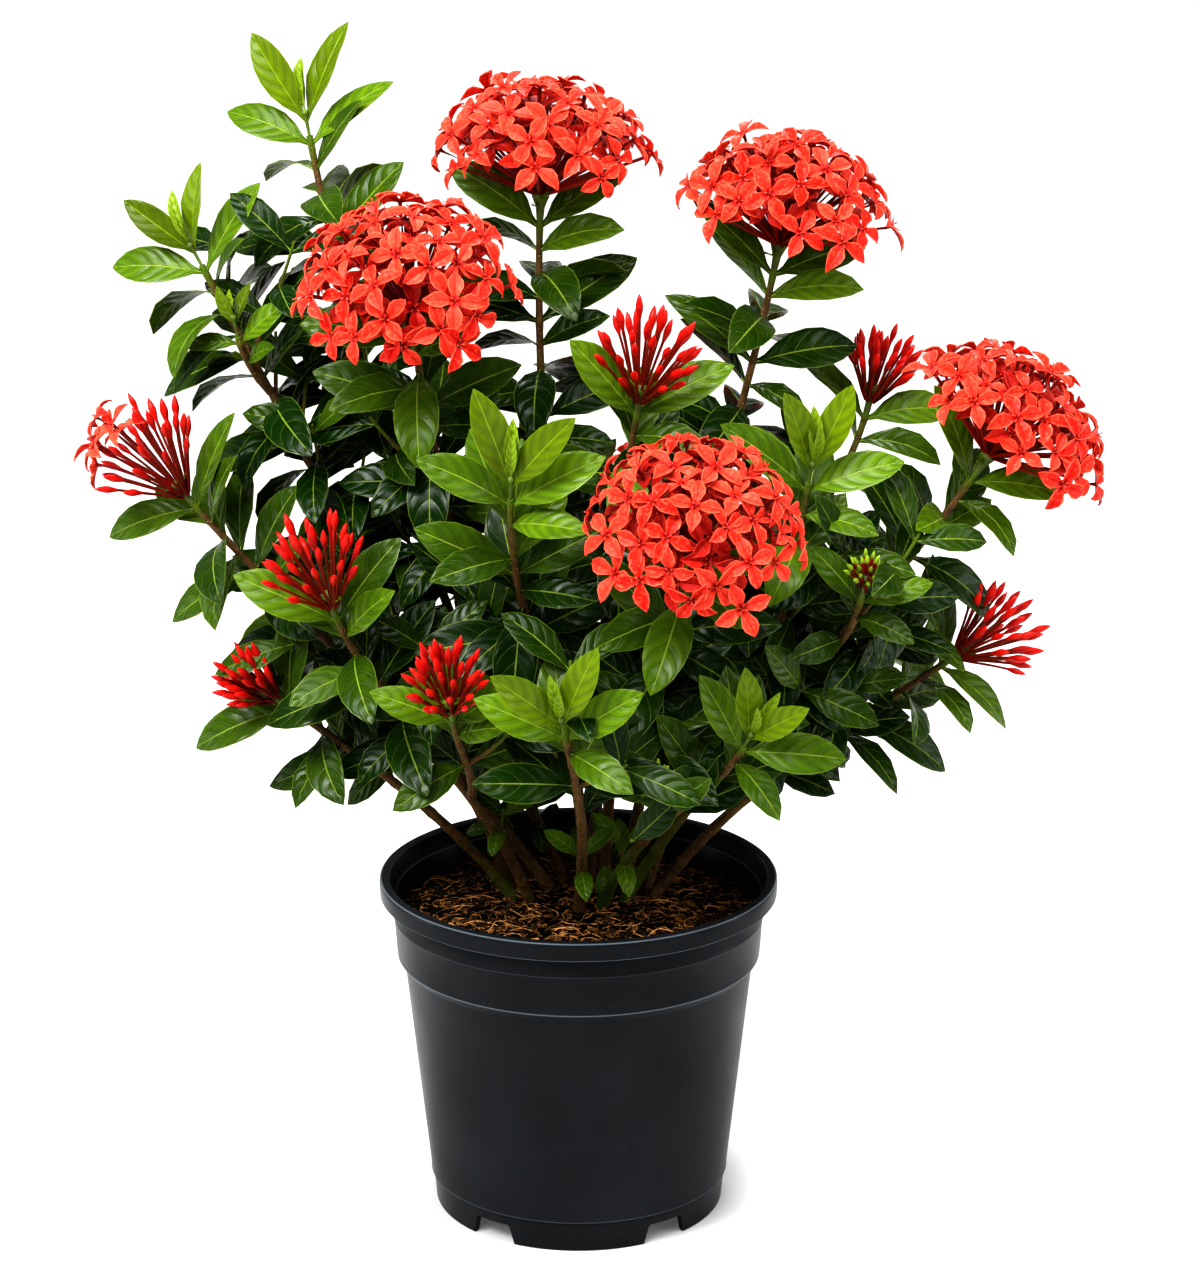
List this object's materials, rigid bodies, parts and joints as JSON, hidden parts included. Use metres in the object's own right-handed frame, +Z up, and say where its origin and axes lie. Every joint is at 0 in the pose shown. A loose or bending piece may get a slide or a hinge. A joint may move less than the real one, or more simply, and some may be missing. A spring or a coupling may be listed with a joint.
{
  "type": "potted ixora",
  "caption": "Bushy ixora in bloom in a plain black nursery pot: rounded clusters of four-petalled coral flowers over glossy paired leaves.",
  "frame": {"origin": "bottom centre of the box round the whole plant and its pot; the pot stands on z = 0", "axes": "+Z up; +X to the viewer's right and -Y towards the viewer, on the side where the low shoots and the front bloom lean out"},
  "size_m": [0.5418, 0.4146, 0.6488],
  "materials": {
    "pot": "satin charcoal black moulded plastic",
    "soil": "dark crumbly potting mix of bark and coir",
    "leaf": "glossy dark green leaves on brown woody stems",
    "young_leaf": "glossy lime green young leaves",
    "green_bud": "small pale green buds",
    "petal": "satin coral red petals on dark red tubes",
    "bud": "satin deep red buds on dark red tubes"
  },
  "bodies": {
    "root": {"bloom_back": "petal", "bloom_front": "petal", "bloom_left": "petal", "bloom_right": "petal", "bloom_right_top": "petal", "bloom_top": "petal", "bud_head_back_left": "bud", "bud_head_back_right": "bud", "bud_head_centre": "bud", "bud_head_front": "bud", "bud_head_left": "bud", "bud_head_left_front": "bud", "bud_head_left_low": "bud", "bud_head_right": "bud", "bud_head_right_low": "bud", "fresh_shoot_back": "young_leaf", "fresh_shoot_back_left": "young_leaf", "fresh_shoot_back_right": "young_leaf", "fresh_shoot_back_tall": "young_leaf", "fresh_shoot_centre": "young_leaf", "fresh_shoot_front": "young_leaf", "fresh_shoot_left": "young_leaf", "fresh_shoot_left_small": "young_leaf", "fresh_shoot_right": "young_leaf", "fresh_shoot_right_front": "young_leaf", "fresh_shoot_top": "young_leaf", "green_buds_front": "green_bud", "green_buds_right": "green_bud", "pot": "pot", "soil": "soil", "stem_back": "leaf", "stem_back_left": "leaf", "stem_back_right": "leaf", "stem_centre": "leaf", "stem_centre_right": "leaf", "stem_front": "leaf", "stem_front_right": "leaf", "stem_left_front": "leaf", "stem_left_low": "leaf", "stem_left_outer": "leaf", "stem_left_tall": "leaf", "stem_right_low": "leaf", "stem_right_outer": "leaf", "stem_right_tall": "leaf", "stem_top": "leaf"}
  },
  "joints": []
}
